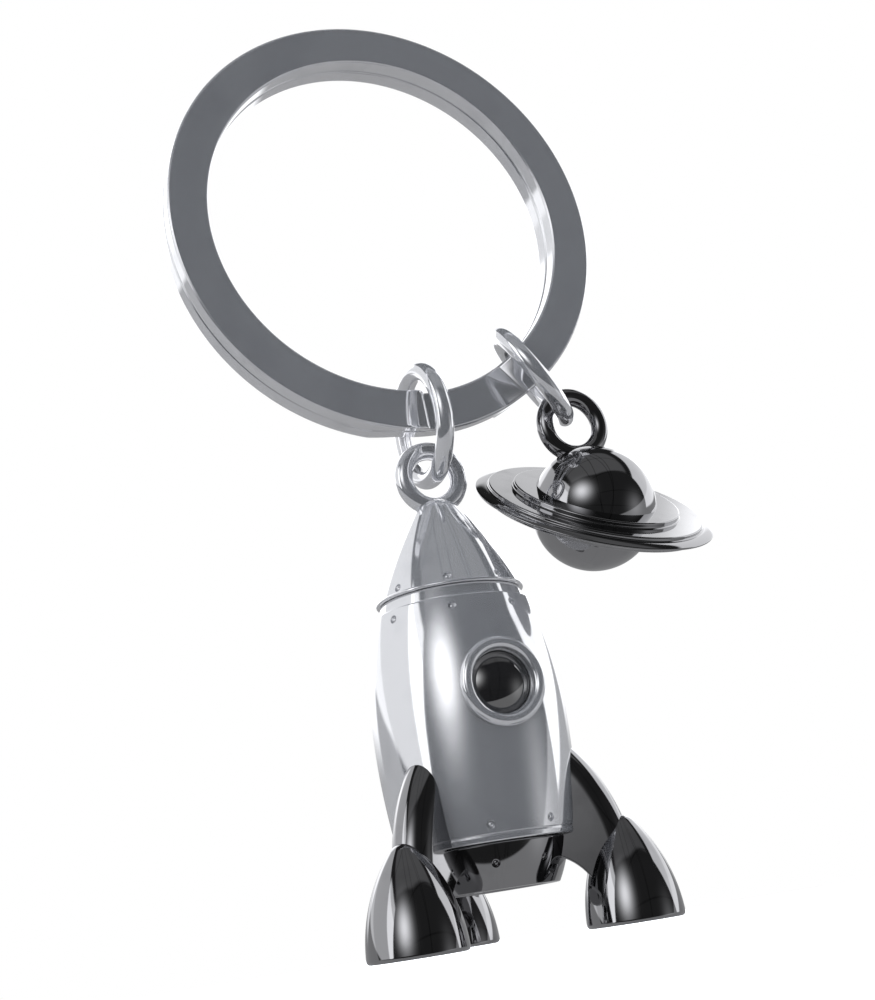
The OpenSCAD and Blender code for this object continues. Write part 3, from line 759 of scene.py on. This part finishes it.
def build_world():
    """The dark studio that the metal reflects, with lights and faint panes. The camera sees plain white."""
    world = bpy.data.worlds.new("studio")
    world.use_nodes = True
    bpy.context.scene.world = world
    nodes, links = world.node_tree.nodes, world.node_tree.links
    nodes.clear()
    way = nodes.new("ShaderNodeTexCoord").outputs["Generated"]

    def math_node(kind, a, b=0.0):
        node = nodes.new("ShaderNodeMath")
        node.operation = kind
        for socket, value in zip(node.inputs, (a, b)):
            if isinstance(value, (int, float)):
                socket.default_value = value
            else:
                links.new(value, socket)
        return node.outputs["Value"]

    def along(direction):
        dot = nodes.new("ShaderNodeVectorMath")
        dot.operation = "DOT_PRODUCT"
        links.new(way, dot.inputs[0])
        dot.inputs[1].default_value = direction
        return dot.outputs["Value"]

    def rise(value, low, high, peak):
        """Zero below low, and rises smoothly to the peak at high."""
        spread = nodes.new("ShaderNodeMapRange")
        spread.interpolation_type = "SMOOTHSTEP"
        links.new(value, spread.inputs["Value"])
        for socket, number in (("From Min", low), ("From Max", high), ("To Min", 0), ("To Max", peak)):
            spread.inputs[socket].default_value = number
        return spread.outputs["Result"]

    def glow(azimuth, height, spread, peak):
        ahead = math_node("MAXIMUM", along(heading(azimuth, height)), 0.0)
        return math_node("MULTIPLY", math_node("POWER", ahead, 1 / math.radians(spread) ** 2), peak)

    def panel(edges, soft, peak):
        """A straight-sided softbox from its corners, each an azimuth and a rise."""
        rays = [heading(*corner) for corner in edges]
        centre = sum(rays, Vector())
        level = peak
        for here, there in zip(rays, rays[1:] + rays[:1]):
            inward = here.cross(there).normalized()
            inward *= math.copysign(1, inward.dot(centre))
            reach = math.sin(math.radians(soft))
            level = math_node("MULTIPLY", rise(along(inward), -reach, reach, 1.0), level)
        return level

    left_softbox = panel([(-67.5, 33), (-88, 47), (-148, 55), (-200, 38), (-195, 16.7), (-79, -7.5)],
                         1.0, 0.8)
    left_edge = panel([(-67.5, 33), (-84, 45), (-98, 48), (-84, -8), (-79, -8)], 1.5, 1.1)
    right_softbox = panel([(66, 30), (117, 52), (145, 21), (83, -3)], 1.2, 1.3)
    camera_glow, low_glow = glow(-45, 21, 10.5, 1.9), glow(54, -8, 11, 0.3)
    back_panel = panel([(128, 6), (128, 42), (200, 42), (200, 6)], 3, 1.0)
    pale_floor = rise(along(heading(157, -55)), 0.0, 0.035, 0.36)
    level = math_node("ADD", panel([(-65, 40), (-10, 48), (60, 38), (110, 62), (-110, 62)], 2.5, 0.14), 0.03)
    for bar in ((-25, -9, 60, -9), (-25, 10, 60, 10), (-25, 39, 60, 39), (6, -10, 27, 48),
                (-14, -10, -10, 48), (-25, 44, -90, 80), (20, 46, 90, 80), (-80, 60, 80, 58)):
        across = heading(*bar[:2]).cross(heading(*bar[2:])).normalized()
        gap = math_node("ABSOLUTE", along(across))
        level = math_node("MULTIPLY", math_node("ADD", rise(gap, 0.004, 0.014, 0.55), 0.45), level)
    for light in (left_softbox, left_edge, right_softbox, camera_glow, low_glow, back_panel, pale_floor):
        level = math_node("ADD", light, level)
    seen = nodes.new("ShaderNodeBackground")
    seen.inputs["Color"].default_value = (1, 1, 1, 1)
    lit = nodes.new("ShaderNodeBackground")
    lit.inputs["Color"].default_value = (0.98, 0.985, 1.0, 1)
    links.new(level, lit.inputs["Strength"])
    pick = nodes.new("ShaderNodeMixShader")
    links.new(nodes.new("ShaderNodeLightPath").outputs["Is Camera Ray"], pick.inputs["Fac"])
    links.new(lit.outputs["Background"], pick.inputs[1])
    links.new(seen.outputs["Background"], pick.inputs[2])
    links.new(pick.outputs["Shader"], nodes.new("ShaderNodeOutputWorld").inputs["Surface"])


def build_fill():
    """A soft light from all round that brightens only the matt part of each finish."""
    for k, toward in enumerate(((0, -1, 0), (-1, 0, 0), (1, 0, 0), (0, 1, 0), (0, 0, 1), (0, 0, -1))):
        data = bpy.data.lights.new(f"fill_{k}", "SUN")
        data.energy, data.angle, data.color = 2.6, math.radians(80), (0.84, 0.90, 1.0)
        fill = bpy.data.objects.new(f"fill_{k}", data)
        fill.rotation_euler = Vector(toward).to_track_quat("Z", "Y").to_euler()
        fill.location = Vector(toward)
        fill.visible_glossy = False
        bpy.context.scene.collection.objects.link(fill)


def build_floor():
    """A plain white floor well below the hanging charms. The metal doesn't reflect it."""
    size, drop = 30.0, 0.4
    mesh = bpy.data.meshes.new("floor")
    mesh.from_pydata([(-size, -size, -drop), (size, -size, -drop), (size, size, -drop), (-size, size, -drop)],
                     [], [(0, 1, 2, 3)])
    floor = bpy.data.objects.new("floor", mesh)
    white = bpy.data.materials.new("floor_white")
    white.use_nodes = True
    shader = white.node_tree.nodes["Principled BSDF"]
    shader.inputs["Base Color"].default_value = (0.9, 0.9, 0.9, 1)
    shader.inputs["Roughness"].default_value = 0.9
    shader.inputs["Emission Color"].default_value = (1, 1, 1, 1)
    shader.inputs["Emission Strength"].default_value = 0.9
    mesh.materials.append(white)
    floor.visible_glossy = False
    floor.visible_diffuse = False
    bpy.context.scene.collection.objects.link(floor)


build_camera()
build_world()
build_fill()
build_floor()
bpy.context.scene.view_settings.view_transform = "Standard"

build_split_ring()
build_links()
build_eyelets()
build_hull()
build_nose()
build_collar()
build_nozzle()
build_rivets()
build_porthole()
build_fins()
build_feet()
build_planet()
